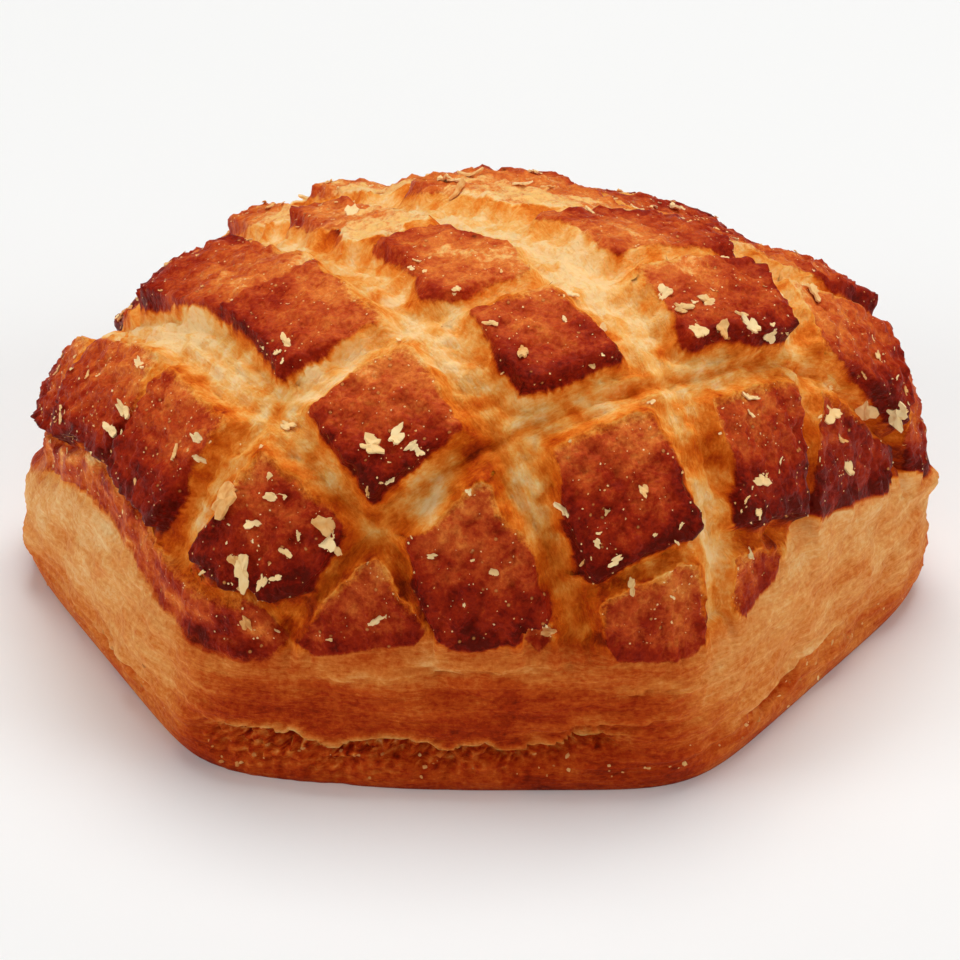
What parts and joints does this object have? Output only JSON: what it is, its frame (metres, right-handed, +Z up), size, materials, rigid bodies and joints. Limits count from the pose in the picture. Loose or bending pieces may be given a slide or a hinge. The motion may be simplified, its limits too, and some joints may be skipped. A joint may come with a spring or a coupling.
{
  "type": "potato scone",
  "caption": "Hexagonal baked scone of layered potato dough, with a domed, scored, browned top, a pale flaky wall and a flat foot.",
  "frame": {"origin": "middle of the scone's box, on the surface that it stands on", "axes": "+Z up; +X to the right in the picture, from corner to corner of the six-sided outline; the front flat faces -Y"},
  "size_m": [0.087, 0.0804, 0.0414],
  "materials": {
    "baked_dough": "matt baked dough: red-brown crust plates, cream to golden dough in the valleys and on the wall"
  },
  "bodies": {
    "root": {"potato_scone": "baked_dough"}
  },
  "joints": []
}
